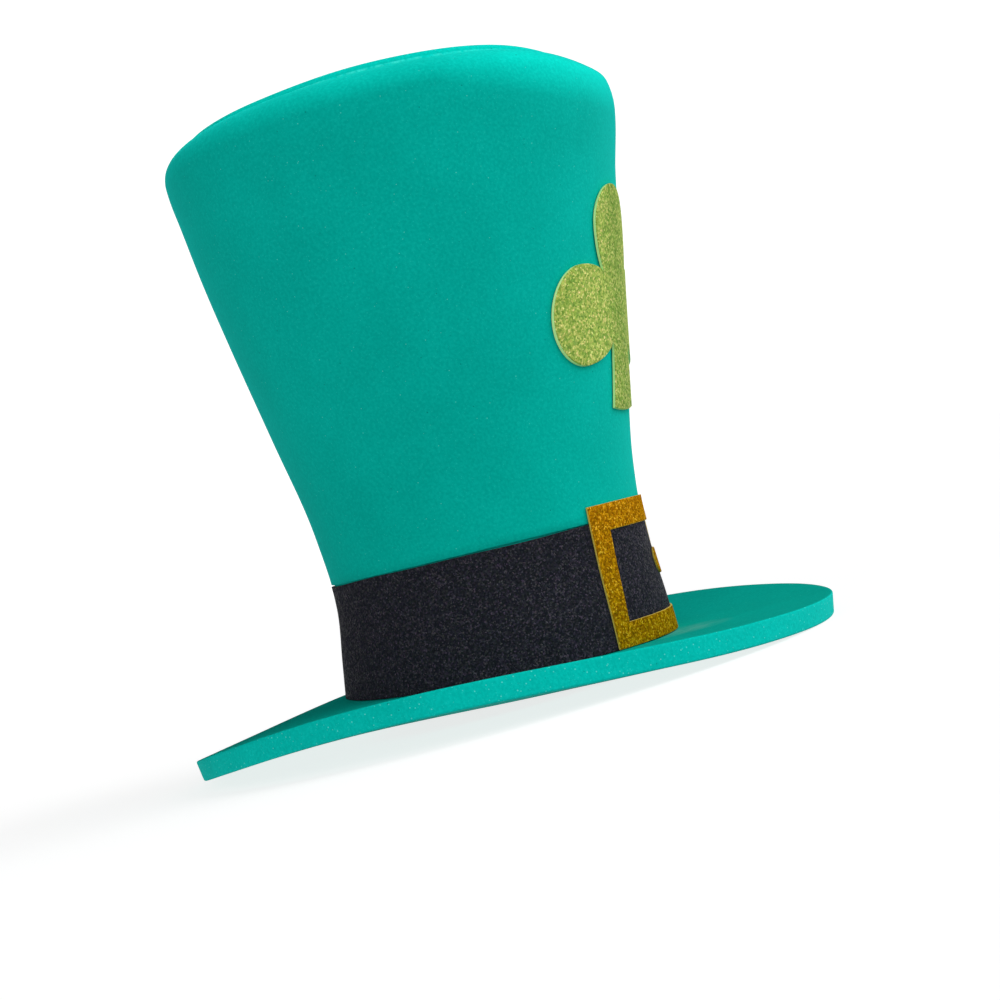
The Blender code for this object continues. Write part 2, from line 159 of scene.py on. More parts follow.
# Buckle
BUCKLE_THICKNESS = 1.4 * MM
BUCKLE_SWELL = 0.12 * MM
SKIN_LIFT = 0.45 * MM
BUCKLE_ROWS = (
    # name, height in millimetres, half angle of the outer edge, half angle of the opening, in degrees
    ("bottom", 0.6, 33.2, 27.0),
    ("opening_bottom", 15.5, 33.1, 26.1),
    ("lower_middle", 34.0, 32.8, 25.0),
    ("upper_middle", 53.0, 32.4, 24.0),
    ("opening_top", 71.0, 32.0, 23.2),
    ("top", 88.0, 31.6, 22.7),
)
BAR_ROUND = 0.028
TONGUE_HEIGHT = 16.0 * MM
TONGUE_MIDDLE = 45.0 * MM
TONGUE_TIP = -12.0 * MM
SHEET_EDGE_ROUND = 0.4 * MM

# Shamrock
SHAMROCK_THICKNESS = 2.0 * MM
SHAMROCK_LIFT = 0.5 * MM
SHAMROCK_CENTRE = 209.0 * MM
LEAF_HALF_WIDTH = 31.0 * MM
LEAF_OUTER = 27.0 * MM
LEAF_INNER = 43.0 * MM
LEAVES = (
    # name, turn from straight up in degrees, distance of the leaf's inner end from the centre in millimetres
    ("top", 0.0, 7.2),
    ("left", 95.0, 6.5),
    ("right", -95.0, 6.5),
)
STEM_HALF_TOP = 13.0 * MM
STEM_HALF_BOTTOM = 19.5 * MM
STEM_BOTTOM = 145.5 * MM
STEM_BOTTOM_BULGE = 2.0 * MM

# Points round each piece
BRIM_SIDES = 400
CROWN_SIDES = 360
BAND_SIDES = 400
SHAMROCK_SIDES = 900

# Foam: its grain, the sizes and shares of its bright specks and dark pinholes, and its small relief
FOAM_ROUGHNESS = 0.9
FOAM_SHEEN_TINT = (0.02, 1.0, 0.9, 1.0)
GRAIN_SCALE = 560.0
BLOTCH_SCALE = 22.0
SPECK_SCALE = 300.0
SPECK_COLOUR = (0.22, 0.95, 0.88)
FINE_SPECK_SCALE = 700.0
FINE_SPECK_SIZE = 0.26
FINE_SPECK_COLOUR = (0.04, 0.78, 0.70)
PINHOLE_SCALE = 200.0
PINHOLE_SIZE = 0.13
PINHOLE_STRENGTH = 0.6
FACE_CELLS = {
    "speck_size": 0.13,
    "speck_share": 0.16,
    "speck_strength": 0.34,
    "fine_share": 0.30,
    "fine_strength": 0.30,
    "pinhole_share": 0.10,
    "relief": 0.0002,
}
CUT_CELLS = {
    "speck_size": 0.165,
    "speck_share": 0.80,
    "speck_strength": 0.50,
    "fine_share": 0.50,
    "fine_strength": 0.50,
    "pinhole_share": 0.12,
    "relief": 0.00035,
}

# The wall's lighter band, a painted highlight that is partly paler rubbed foam, starts lower, the further it
# lies in front of this distance
HIGHLIGHT_FRONT = 0.10
HIGHLIGHT_SLANT = 0.35

# Glue: crumbs in the disc's seam, and a film on the brim at the buckle's foot, with its place and its reach
CRUMB_COLOUR = (0.08, 1.0, 0.88)
SMEAR_COLOUR = (0.16, 0.52, 0.43)
SMEAR_PLACE = (0.0, -0.118, 0.016)
SMEAR_REACH = (0.012, 0.036)

# Glitter: how much the coarse and the fine flakes count in the colour, how much finer these are, their relief
COARSE_SHARE = 0.72
FINE_SHARE = 0.28
FINE_FLAKES = 2.1
FLAKE_RELIEF = 0.00016

WHITE = (1.0, 1.0, 1.0)

# How far the photograph's camera stands and looks, in the crown's frame; places in the picture are in pixels
CAMERA_TURN = math.radians(20.3)
CAMERA_RISE = math.radians(4.0)
CAMERA_DISTANCE = 1.3
CAMERA_ROLL = math.radians(-13.8)
FOOT_IN_PICTURE = (513.8, 661.6)
FOCAL_PIXELS = 1950.0
PICTURE_PIXELS = 1000.0
SENSOR_WIDTH = 36.0
NEAREST_SEEN = 0.05
FARTHEST_SEEN = 200.0

# Light: a dim sky, the bounce of a white sweep from below, and broad lamps round the hat
SKY_LIGHT = 0.04
BOUNCE_LIGHT = 0.46
HORIZON = 0.05
BACKDROP = 1.15
FLOOR_GLOW = 0.78
FLOOR_COLOUR = 0.36
FLOOR_HALF_SIZE = 60.0
LAMP_SOFTNESS = math.radians(50.0)
LAMP_DISTANCE = 3.0
LAMPS = (
    # name, turn from the hat's front, rise, strength
    ("side", 78.0, 24.0, 0.92),
    ("front", -4.0, 32.0, 1.55),
    ("front_low", -40.0, 6.0, 0.75),
    ("front_high", -40.0, 62.0, 0.55),
    ("back", 128.0, 12.0, 0.62),
)


# Shape functions, on arrays

def smooth_step(low, high, value):
    share = np.clip((np.asarray(value, float) - low) / (high - low), 0.0, 1.0)
    return share * share * (3.0 - 2.0 * share)


def smooth_table(rows, height, column=2, scale=MM):
    """Values at heights, on a smooth curve through the rows of a table."""
    heights = np.array([row[1] for row in rows]) * MM
    values = np.array([row[column] for row in rows]) * scale
    slopes = np.gradient(values, heights)
    slopes[-1] = 0.0
    height = np.clip(height, heights[0], heights[-1])
    row = np.clip(np.searchsorted(heights, height, side="right") - 1, 0, len(heights) - 2)
    step = heights[row + 1] - heights[row]
    t = (height - heights[row]) / step
    start = (2 * t ** 3 - 3 * t ** 2 + 1) * values[row] + (t ** 3 - 2 * t ** 2 + t) * step * slopes[row]
    end = (3 * t ** 2 - 2 * t ** 3) * values[row + 1] + (t ** 3 - t ** 2) * step * slopes[row + 1]
    return start + end


def crown_radius(height):
    return smooth_table(CROWN_PROFILE, height)


def past_widest(heights, height):
    """From 0 to 1 between two heights, which are given from the widest ring."""
    return smooth_step(WIDEST + heights[0], WIDEST + heights[1], height)


def band_press(height):
    """How far the band presses the wall in."""
    depth = BAND_THICKNESS - BAND_PROUD + GAP
    return depth * (1.0 - smooth_step(BAND_TOP + GAP, BAND_TOP + GAP + PRESS_FADE, height))


def unevenness(direction, height, size):
    """A gentle hand-made unevenness, the same each time."""
    waves = (
        np.sin(3 * direction + 11.0 * height + 0.7)
        + 0.7 * np.sin(5 * direction - 23.0 * height + 2.1)
        + 0.5 * np.sin(8 * direction + 31.0 * height + 4.0)
        + 0.4 * np.sin(13 * direction - 47.0 * height + 1.3)
    )
    largest = 1.0 + 0.7 + 0.5 + 0.4
    return size * waves / largest


def back_seam(direction, half_width, depth):
    """Depth of a fine seam at the back, along each direction; the half width is in degrees."""
    return np.exp(-(np.degrees(np.abs(direction - math.pi)) / half_width) ** 2) * depth


def on_circle(radius, height, direction):
    radius, height, direction = np.broadcast_arrays(radius, height, direction)
    return np.stack([-radius * np.sin(direction), -radius * np.cos(direction), height], -1).astype(float)


def crown_points(radius, height, direction):
    """Points of the crown: turned, pressed at front and back, tilted at the foot, raised at the shoulder."""
    radius, height, direction = np.broadcast_arrays(
        np.asarray(radius, float), np.asarray(height, float), np.asarray(direction, float)
    )
    points = on_circle(radius, height, direction)
    facing = np.cos(direction)
    in_front = np.maximum(0.0, facing)
    past_seam = smooth_step(SEAM_RADIUS, SEAM_RADIUS + SEAM_CALM_WIDTH, radius)
    outside = np.where(height > SEAM_CALM_ABOVE, past_seam, 1.0)
    points[..., 1] += smooth_table(FRONT_PRESS, height) * in_front ** 2 * outside
    points[..., 1] -= smooth_table(BACK_PRESS, height) * np.maximum(0.0, -facing) ** 2
    points[..., 2] += FOOT_TILT * points[..., 1] * (1.0 - smooth_step(0.0, BAND_TOP, height))
    shoulder = past_widest(SHOULDER_LIFT_FROM, height) * (1.0 - past_widest(SHOULDER_LIFT_TO, height))
    lift = np.where(facing > 0.0, SHOULDER_FRONT_LIFT, -SHOULDER_BACK_LIFT)
    points[..., 2] += lift * facing * shoulder
    points[..., 2] -= ROLL_FRONT_DROOP * in_front ** ROLL_DROOP_POWER * past_widest(ROLL_DROOP_FROM, height)
    return points


def on_crown(direction, height, lift):
    return crown_points(crown_radius(height) + lift, height, direction)


def angles_round(count, fine_at_back=False):
    """Directions once round, with a few extra at the back for a fine seam there."""
    angles = np.arange(count) * 2.0 * math.pi / count
    if fine_at_back:
        near = math.pi + np.radians([-1.2, -0.7, -0.42, -0.24, -0.12, 0.0, 0.12, 0.24, 0.42, 0.7, 1.2])
        keep = np.abs(angles - math.pi) > math.radians(1.5)
        angles = np.sort(np.concatenate([angles[keep], near]))
    return angles


# Mesh helpers

def make_piece(name, points, faces, materials, replaced, sharp=40.0, material_of=None):
    """A piece in the crown's frame, set down with the hat, that stands for a node of the frame."""
    mesh = bpy.data.meshes.new(name)
    mesh.from_pydata([tuple(p) for p in points], [], [tuple(f) for f in faces])
    mesh.transform(HAT)
    for material in materials:
        mesh.materials.append(material)
    if material_of is not None:
        mesh.polygons.foreach_set("material_index", np.asarray(material_of, np.int32))
    mesh.shade_smooth()
    mesh.set_sharp_from_angle(angle=math.radians(sharp))
    mesh.update()
    piece = bpy.data.objects.new(name, mesh)
    bpy.context.scene.collection.objects.link(piece)
    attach(piece, "root")
    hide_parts(replaced)
    return piece


def loft(rings, closed_section=True):
    """Points and faces of rings of equal length, each ring closed, joined one to the next."""
    rings = np.asarray(rings)
    count, sides = rings.shape[0], rings.shape[1]
    points = rings.reshape(-1, 3)
    rows = count if closed_section else count - 1
    r = np.arange(rows)[:, None]
    s = np.arange(sides)[None, :]
    after = (r + 1) % count
    right = (s + 1) % sides
    faces = np.stack([r * sides + s, r * sides + right, after * sides + right, after * sides + s], -1)
    return points, faces.reshape(-1, 4)


def strip_of_faces(strips, sides):
    """For each face of a loft, the number of its strip: strip k lies between ring k and the next."""
    return np.arange(strips).repeat(sides)


def face_outwards(points, faces):
    """Turns all the faces over if the closed body of four-cornered faces is inside out."""
    a, b, c, d = (points[faces[:, k]] for k in range(4))
    volume = np.einsum("ij,ij->i", a, np.cross(b, c)).sum()
    volume += np.einsum("ij,ij->i", a, np.cross(c, d)).sum()
    return faces if volume > 0 else faces[:, ::-1]


def close_ends(points, faces, sides, middles):
    """Closes the first and the last ring of an open loft with triangles round a middle point each."""
    first = len(points)
    last_ring = first - sides
    faces = [list(f) for f in faces]
    for side in range(sides):
        after = (side + 1) % sides
        faces.append([first, after, side])
        faces.append([first + 1, last_ring + side, last_ring + after])
    return np.concatenate([points, middles]), faces


def face_normal(points, face):
    """Direction that a face looks in, from its first three corners."""
    corners = points[face[:3]]
    return np.cross(corners[1] - corners[0], corners[2] - corners[0])


def arc(centre, radius, start, end, steps):
    """Points of an arc in (across, up), from start to end in degrees."""
    turns = np.radians(np.linspace(start, end, steps + 1))
    return [(centre[0] + radius * math.cos(t), centre[1] + radius * math.sin(t)) for t in turns]


# Materials

class Nodes:
    """A short way to write a material's nodes."""

    def __init__(self, name, colour, roughness):
        self.material = bpy.data.materials.new(name)
        self.material.use_nodes = True
        self.tree = self.material.node_tree
        self.shader = self.tree.nodes["Principled BSDF"]
        self.shader.inputs["Base Color"].default_value = (*colour, 1.0)
        self.shader.inputs["Roughness"].default_value = roughness
        self.material.diffuse_color = (*colour, 1.0)
        self.place = self.add("ShaderNodeTexCoord").outputs["Object"]
        from_foot = self.vector("SUBTRACT", self.place, HAT_PLACE)
        self.height = self.vector("DOT_PRODUCT", from_foot, HAT_UP, "Value")

    def add(self, kind, **settings):
        node = self.tree.nodes.new(kind)
        for key, value in settings.items():
            setattr(node, key, value)
        return node

    def link(self, output, target):
        self.tree.links.new(output, target)

    def set(self, name, value):
        self.shader.inputs[name].default_value = value

    def into(self, name, output):
        self.link(output, self.shader.inputs[name])

    def vector(self, operation, a, b=None, output="Vector"):
        node = self.add("ShaderNodeVectorMath", operation=operation)
        for socket, value in zip(node.inputs, (a, b)):
            if isinstance(value, tuple):
                socket.default_value = value
            elif value is not None:
                self.link(value, socket)
        return node.outputs[output]

    def scaled(self, vector, factor):
        node = self.add("ShaderNodeVectorMath", operation="SCALE")
        self.link(vector, node.inputs[0])
        node.inputs["Scale"].default_value = factor
        return node.outputs["Vector"]

    def noise(self, scale, detail=3.0, rough=0.55):
        node = self.add("ShaderNodeTexNoise")
        node.inputs["Scale"].default_value = scale
        node.inputs["Detail"].default_value = detail
        node.inputs["Roughness"].default_value = rough
        self.link(self.place, node.inputs["Vector"])
        return node.outputs["Fac"]

    def cells(self, scale):
        node = self.add("ShaderNodeTexVoronoi")
        node.inputs["Scale"].default_value = scale
        self.link(self.place, node.inputs["Vector"])
        return node

    def ramp(self, source, stops):
        node = self.add("ShaderNodeValToRGB")
        ramp = node.color_ramp
        while len(ramp.elements) > 1:
            ramp.elements.remove(ramp.elements[-1])
        ramp.elements[0].position = stops[0][0]
        ramp.elements[0].color = (*stops[0][1], 1.0)
        for position, colour in stops[1:]:
            ramp.elements.new(position).color = (*colour, 1.0)
        self.link(source, node.inputs["Fac"])
        return node.outputs["Color"]

    def math(self, operation, a, b=None):
        node = self.add("ShaderNodeMath", operation=operation)
        for socket, value in zip(node.inputs, (a, b)):
            if isinstance(value, (int, float)):
                socket.default_value = value
            elif value is not None:
                self.link(value, socket)
        return node.outputs[0]

    def range(self, source, low, high, to_low, to_high):
        node = self.add("ShaderNodeMapRange")
        node.clamp = True
        for name, value in (("From Min", low), ("From Max", high), ("To Min", to_low), ("To Max", to_high)):
            node.inputs[name].default_value = value
        self.link(source, node.inputs["Value"])
        return node.outputs["Result"]

    def mix(self, share, a, b, mode="MIX"):
        node = self.add("ShaderNodeMix", data_type="RGBA", blend_type=mode)
        for socket, value in ((node.inputs[0], share), (node.inputs[6], a), (node.inputs[7], b)):
            if isinstance(value, (int, float)):
                socket.default_value = value
            elif isinstance(value, tuple):
                socket.default_value = (*value, 1.0)
            else:
                self.link(value, socket)
        return node.outputs[2]

    def tinted(self, colour, tint):
        return self.mix(1.0, colour, tint, "MULTIPLY")

    def split(self, vector):
        node = self.add("ShaderNodeSeparateXYZ")
        self.link(vector, node.inputs[0])
        return node.outputs

    def bump(self, height, distance, strength, normal=None):
        node = self.add("ShaderNodeBump")
        node.inputs["Distance"].default_value = distance
        node.inputs["Strength"].default_value = strength
        self.link(height, node.inputs["Height"])
        if normal is not None:
            self.link(normal, node.inputs["Normal"])
        return node.outputs["Normal"]

    def dots(self, scale, size, keep):
        """Small round dots, one in some of the cells of a grid: 1 on the dot and 0 off it."""
        cells = self.cells(scale)
        dot = self.range(cells.outputs["Distance"], size * 0.4, size, 1.0, 0.0)
        chance = self.split(cells.outputs["Color"])[0]
        return self.math("MULTIPLY", dot, self.math("GREATER_THAN", chance, 1.0 - keep))


def add_wear_and_painted_highlight(n, base, low, high, tone):
    """Foam painted lighter between two heights, and lower down in front: painted highlight on the roll and
    the front shoulder, partly paler rubbed foam.
    """
    ahead = n.math("MAXIMUM", n.vector("DOT_PRODUCT", n.place, (0.0, -1.0, 0.0), "Value"), HIGHLIGHT_FRONT)
    ahead = n.math("MULTIPLY", n.math("SUBTRACT", ahead, HIGHLIGHT_FRONT), HIGHLIGHT_SLANT)
    height = n.range(n.math("ADD", n.height, ahead), low, high, 0.0, 1.0)
    return n.tinted(base, n.mix(height, WHITE, (tone, tone, tone)))


def add_crumbs(n, base):
    """Pale crumbs of dried glue."""
    crumbs = n.range(n.noise(180.0, 4.0, 0.7), 0.40, 0.66, 0.0, 0.7)
    return n.mix(crumbs, base, CRUMB_COLOUR)


def add_smear(n, base):
    """A faint, uneven film of glue round one place."""
    away = n.vector("DISTANCE", n.place, SMEAR_PLACE, "Value")
    near = n.range(away, *SMEAR_REACH, 0.4, 0.0)
    film = n.math("MULTIPLY", near, n.range(n.noise(90.0, 2.0, 0.5), 0.35, 0.6, 0.35, 1.0))
    return n.mix(film, base, SMEAR_COLOUR)


def foam_material(name, colour, sheen, cells=FACE_CELLS, wear_and_painted_highlight=None, glued=False, smeared=False):
    """Closed-cell foam: a fine grain, a few bright specks and dark pinholes, more of them on a cut edge."""
    n = Nodes(name, colour, FOAM_ROUGHNESS)
    n.set("Specular IOR Level", 0.02)
    n.set("Sheen Weight", sheen)
    n.set("Sheen Roughness", 0.35)
    n.set("Sheen Tint", FOAM_SHEEN_TINT)
    grain = n.noise(GRAIN_SCALE, 2.5, 0.55)
    blotch = n.noise(BLOTCH_SCALE, 3.0, 0.5)
    dark = tuple(c * 0.925 for c in colour)
    light = (colour[0] + 0.002, colour[1] * 1.08, colour[2] * 1.09)
    base = n.ramp(grain, [(0.33, dark), (0.5, colour), (0.67, light)])
    base = n.tinted(base, n.ramp(blotch, [(0.3, (0.955, 0.955, 0.955)), (0.7, (1.04, 1.04, 1.04))]))
    # Painted highlight on the roll and the front shoulder, partly paler rubbed foam
    if wear_and_painted_highlight is not None:
        base = add_wear_and_painted_highlight(n, base, *wear_and_painted_highlight)
    speck = n.dots(SPECK_SCALE, cells["speck_size"], cells["speck_share"])
    fine_speck = n.dots(FINE_SPECK_SCALE, FINE_SPECK_SIZE, cells["fine_share"])
    base = n.mix(n.math("MULTIPLY", fine_speck, cells["fine_strength"]), base, FINE_SPECK_COLOUR)
    base = n.mix(n.math("MULTIPLY", speck, cells["speck_strength"]), base, SPECK_COLOUR)
    pinhole = n.dots(PINHOLE_SCALE, PINHOLE_SIZE, cells["pinhole_share"])
    base = n.mix(n.math("MULTIPLY", pinhole, PINHOLE_STRENGTH), base, tuple(c * 0.4 for c in colour))
    if glued:
        base = add_crumbs(n, base)
    if smeared:
        base = add_smear(n, base)
    n.into("Base Color", base)
    pits = n.math("SUBTRACT", grain, n.math("MULTIPLY", pinhole, 1.2))
    relief = n.bump(pits, cells["relief"], 0.5)
    n.into("Normal", n.bump(n.noise(160.0, 2.0, 0.5), 0.0006, 0.22, relief))
    return n.material


def glitter_material(name, stops, roughness, tilt, scale, tint, specular, rise=None, aside=None):
    """Glitter foam: small flakes, each with its own colour and its own tilt.

    rise paints light and shade on the flakes from one height to another, and aside from one distance to
    another off the middle:
    low, high, the tint at low, the tint at high.
    """
    n = Nodes(name, stops[len(stops) // 2][1], roughness)
    n.set("Specular IOR Level", specular)
    flakes = n.cells(scale)
    random = n.split(flakes.outputs["Color"])
    fine = n.cells(scale * FINE_FLAKES)
    fine_random = n.split(fine.outputs["Color"])
    coarse_part = n.math("MULTIPLY", random[0], COARSE_SHARE)
    pick = n.math("ADD", coarse_part, n.math("MULTIPLY", fine_random[1], FINE_SHARE))
    colour = n.ramp(pick, stops)
    if rise is not None:
        low, high, low_tint, high_tint = rise
        height = n.range(n.height, low, high, 0.0, 1.0)
        colour = n.tinted(colour, n.mix(height, low_tint, high_tint))
    if aside is not None:
        low, high, low_tint, high_tint = aside
        off_middle = n.math("ABSOLUTE", n.split(n.place)[0])
        off_middle = n.range(off_middle, low, high, 0.0, 1.0)
        colour = n.tinted(colour, n.mix(off_middle, low_tint, high_tint))
    colour = n.tinted(colour, n.mix(tint, WHITE, flakes.outputs["Color"]))
    n.into("Base Color", colour)
    roughest = min(1.0, roughness * 1.35)
    n.into("Roughness", n.range(random[2], 0.0, 1.0, roughness * 0.75, roughest))
    tilts = n.scaled(n.vector("SUBTRACT", flakes.outputs["Color"], (0.5, 0.5, 0.5)), tilt)
    bumped = n.bump(n.math("SUBTRACT", 1.0, fine.outputs["Distance"]), FLAKE_RELIEF, 0.6)
    n.into("Normal", n.vector("NORMALIZE", n.vector("ADD", bumped, tilts)))
    return n.material


def edge_material(name, colour, dark):
    """The cut edge of a thin glitter sheet: plain foam with a fine grain."""
    n = Nodes(name, colour, 0.8)
    n.set("Specular IOR Level", 0.1)
    grain = n.noise(1500.0, 3.0, 0.6)
    n.into("Base Color", n.ramp(grain, [(0.3, dark), (0.62, colour)]))
    n.into("Normal", n.bump(grain, 0.0001, 0.5))
    return n.material


# The wall's foam is lighter between two heights near the roll: painted highlight, partly paler rubbed foam
teal_foam = foam_material("teal_foam_face", (0.0, 0.47, 0.39), 0.8, wear_and_painted_highlight=(0.354, 0.380, 1.66))
teal_disc = foam_material("teal_foam_disc", (0.0, 0.50, 0.42), 0.8)
# A lighter copy of the teal foam for the disc's upper rounding: painted highlight
teal_round_painted_highlight = foam_material("teal_foam_round_painted_highlight", (0.0, 0.72, 0.61), 0.8)
# A lighter copy of the teal foam for the disc's side in the seam: painted highlight, with pale crumbs of
# dried glue
teal_seam_glue_and_highlight = foam_material("teal_foam_seam_glue_and_highlight", (0.0, 0.80, 0.70), 0.8, glued=True)
teal_brim = foam_material("teal_foam_brim", (0.0, 0.42, 0.345), 0.0, smeared=True)
teal_cut = foam_material("teal_foam_cut", (0.0, 0.58, 0.50), 0.2, cells=CUT_CELLS)
black_glitter = glitter_material(
    "black_glitter_face",
    [
        (0.0, (0.010, 0.010, 0.016)),
        (0.45, (0.019, 0.019, 0.026)),
        (0.70, (0.031, 0.032, 0.043)),
        (0.84, (0.048, 0.048, 0.064)),
        (0.93, (0.090, 0.087, 0.108)),
    ],
    roughness=0.55, tilt=0.5, scale=1000.0, tint=0.28, specular=0.02,
)
black_edge = edge_material("black_glitter_edge", (0.02, 0.021, 0.026), (0.01, 0.011, 0.014))
gold_glitter = glitter_material(
    "gold_glitter_face",
    [
        (0.0, (0.24, 0.085, 0.003)),
        (0.32, (0.38, 0.165, 0.003)),
        (0.58, (0.51, 0.25, 0.003)),
        (0.80, (0.70, 0.385, 0.004)),
        (0.94, (1.0, 0.72, 0.06)),
    ],
    roughness=0.5, tilt=0.65, scale=900.0, tint=0.12, specular=0.0,
    # Painted shade: the buckle darker and more olive towards its bottom, lighter and more orange towards its
    # top
    rise=(0.0, 0.09, (0.66, 0.75, 0.6), (1.02, 0.86, 0.9)),
)
gold_edge = edge_material("gold_glitter_edge", (0.78, 0.60, 0.12), (0.50, 0.33, 0.04))
green_glitter = glitter_material(
    "green_glitter_face",
    [
        (0.0, (0.16, 0.29, 0.04)),
        (0.30, (0.25, 0.41, 0.06)),
        (0.58, (0.37, 0.53, 0.085)),
        (0.80, (0.51, 0.63, 0.13)),
        (0.94, (0.78, 0.88, 0.28)),
    ],
    roughness=0.5, tilt=0.5, scale=760.0, tint=0.2, specular=0.02,
    # Painted light and shade: the shamrock darker in the middle, lighter towards its sides
    aside=(0.006, 0.026, (0.90, 0.92, 0.94), (1.24, 1.16, 1.32)),
)
green_edge = edge_material("green_glitter_edge", (0.70, 1.0, 0.42), (0.50, 0.92, 0.30))


# Brim

def rim_height(direction):
    return (
        RIM_MEAN
        + RIM_FRONT_LIFT * np.cos(direction)
        + RIM_ARCH * np.cos(2.0 * direction)
        + RIM_QUARTER * np.cos(4.0 * direction)
    )


def flat_ring(radius, direction):
    """A ring on the brim's flat middle, which tilts with the crown's foot."""
    ring = on_circle(radius, 0.0, direction)
    ring[..., 2] += FOOT_TILT * ring[..., 1]
    return ring


def brim_surface(direction, share):
    inner = flat_ring(BRIM_FLAT_RADIUS, direction)
    outer = on_circle(BRIM_RADIUS, rim_height(direction), direction)
    outer[..., 1] += BRIM_SHIFT_BACK
    point = inner + (outer - inner) * share
    point[..., 2] = inner[..., 2] + (outer[..., 2] - inner[..., 2]) * share ** BRIM_SLOPE_POWER
    return point


def rim_section():
    """The rim's thickness from above to below, as (outwards, up), with both its corners rounded."""
    edge = BRIM_EDGE_ROUND
    section = arc((-edge, -edge), edge, 90.0, 0.0, 5)
    section += [(0.0, -BRIM_THICKNESS * share) for share in (0.25, 0.4, 0.55, 0.7)]
    return section + arc((-edge, edge - BRIM_THICKNESS), edge, 0.0, -90.0, 5)


def make_brim():
    direction = angles_round(BRIM_SIDES)
    outward = on_circle(1.0, 0.0, direction)
    up = np.array([0.0, 0.0, 1.0])

    def slope_at(share):
        """Directions square to the brim's top and along it."""
        low, high = max(0.0, share - BRIM_SLOPE_STEP), min(1.0, share + BRIM_SLOPE_STEP)
        ahead = brim_surface(direction, high) - brim_surface(direction, low)
        rise = np.arctan2(ahead[:, 2], np.einsum("ij,ij->i", ahead, outward))[:, None]
        return up * np.cos(rise) - outward * np.sin(rise), outward * np.cos(rise) + up * np.sin(rise)

    def uneven_at(share):
        return unevenness(direction, share * BRIM_WAVE_SPAN, BRIM_UNEVEN)[:, None]

    top, below = [], []
    for radius in (HEAD_HOLE_RADIUS, 0.5 * (HEAD_HOLE_RADIUS + BRIM_FLAT_RADIUS)):
        point = flat_ring(radius, direction)
        top.append(point)
        below.append(point - up * BRIM_THICKNESS)
    for share in (0.0, 0.03, 0.07, BRIM_BLEND, *np.linspace(0.18, 0.97, 16)):
        normal, _ = slope_at(share)
        if share < BRIM_BLEND:
            normal = up + (normal - up) * smooth_step(0.0, BRIM_BLEND, share)
            normal = normal / np.linalg.norm(normal, axis=1, keepdims=True)
        point = brim_surface(direction, share)
        uneven = uneven_at(share) * smooth_step(*BRIM_UNEVEN_SHARES, share)
        top.append(point + normal * uneven)
        below.append(point - normal * (BRIM_THICKNESS - uneven))
    normal, along = slope_at(RIM_SLOPE_SHARE)
    rim = brim_surface(direction, 1.0)
    uneven = uneven_at(1.0)
    facing = np.maximum(0.0, np.cos(direction))[:, None] ** 2
    ends = []
    for a, b in rim_section():
        depth = -b / BRIM_THICKNESS
        slant = facing * (FRONT_CUT_OUT * (1.0 - depth) - FRONT_CUT_IN * depth)
        ends.append(rim + along * (a + slant) + normal * (b + uneven))
    rings = top + ends + below[::-1]
    points, faces = loft(rings)
    faces = face_outwards(points, faces)
    # The cut edge starts at the third ring of the upper rounding and ends at the last of the lower one
    strip = strip_of_faces(len(rings), len(direction))
    cut = (strip >= len(top) + 2) & (strip < len(top) + len(ends) - 1)
    return make_piece("brim_foam", points, faces, [teal_brim, teal_cut], "brim", material_of=cut)


# Crown

def roll_points(width, height, steps):
    """The roll's section as (radius, height), from the widest ring up to the disc's seam."""
    centre = CROWN_PROFILE[-1][2] * MM - ROLL_WIDTH
    last = math.acos(((SEAM_RADIUS - centre) / width) ** (1.0 / ROLL_FLATNESS))
    points = []
    for turn in np.linspace(0.0, last, steps + 1):
        across, up = math.cos(turn) ** ROLL_FLATNESS, math.sin(turn) ** ROLL_FLATNESS
        points.append((centre + width * across, WIDEST + height * up))
    return points


def make_crown_wall():
    direction = angles_round(CROWN_SIDES, fine_at_back=True)
    behind_band = [*np.linspace(BAND_BOTTOM, BAND_TOP + GAP, 12)]
    behind_band += [BAND_TOP + GAP + PRESS_FADE * share for share in (0.2, 0.4, 0.6, 0.8, 1.0)]
    outer = [(float(crown_radius(height) - band_press(height)), height) for height in behind_band]
    for height in np.linspace(WALL_ABOVE_BAND, WIDEST - 4.0 * MM, 62):
        outer.append((float(crown_radius(height)), height))
    outer += roll_points(ROLL_WIDTH, ROLL_HEIGHT, 22)
    inner = roll_points(ROLL_WIDTH - WALL_THICKNESS, ROLL_HEIGHT - WALL_THICKNESS, 6)[::-1]
    for height in np.linspace(WIDEST - 12.0 * MM, 6.0 * MM, 30):
        inner.append((float(crown_radius(height)) - WALL_THICKNESS, height))
    inner.append((float(crown_radius(0.0)) - WALL_THICKNESS, BAND_BOTTOM))
    # The seam at the back stops two rings short of the disc
    seam_to = len(outer) - 2
    seam = back_seam(direction, *WALL_SEAM)
    rings = []
    for k, (radius, height) in enumerate(outer + inner):
        wave = unevenness(direction, height, WALL_UNEVEN) * smooth_step(*WALL_UNEVEN_FROM, height)
        wave = wave * (1.0 - past_widest(ROLL_UNEVEN_TO, height))
        groove = seam if k < seam_to else 0.0
        rings.append(crown_points(radius + wave - groove, height, direction))
    points, faces = loft(rings)
    faces = face_outwards(points, faces)
    return make_piece("crown_wall_foam", points, faces, [teal_foam], "crown_wall", sharp=50.0)


def top_droop(radius, direction):
    facing = np.cos(direction)
    in_front = np.maximum(0.0, facing)
    front = TOP_FRONT_DROOP * in_front ** TOP_DROOP_POWER
    back = TOP_BACK_DROOP * smooth_step(*TOP_BACK_FACING, -facing)
    return (front + back) * smooth_step(TOP_FLAT_RADIUS, SEAM_RADIUS, radius)


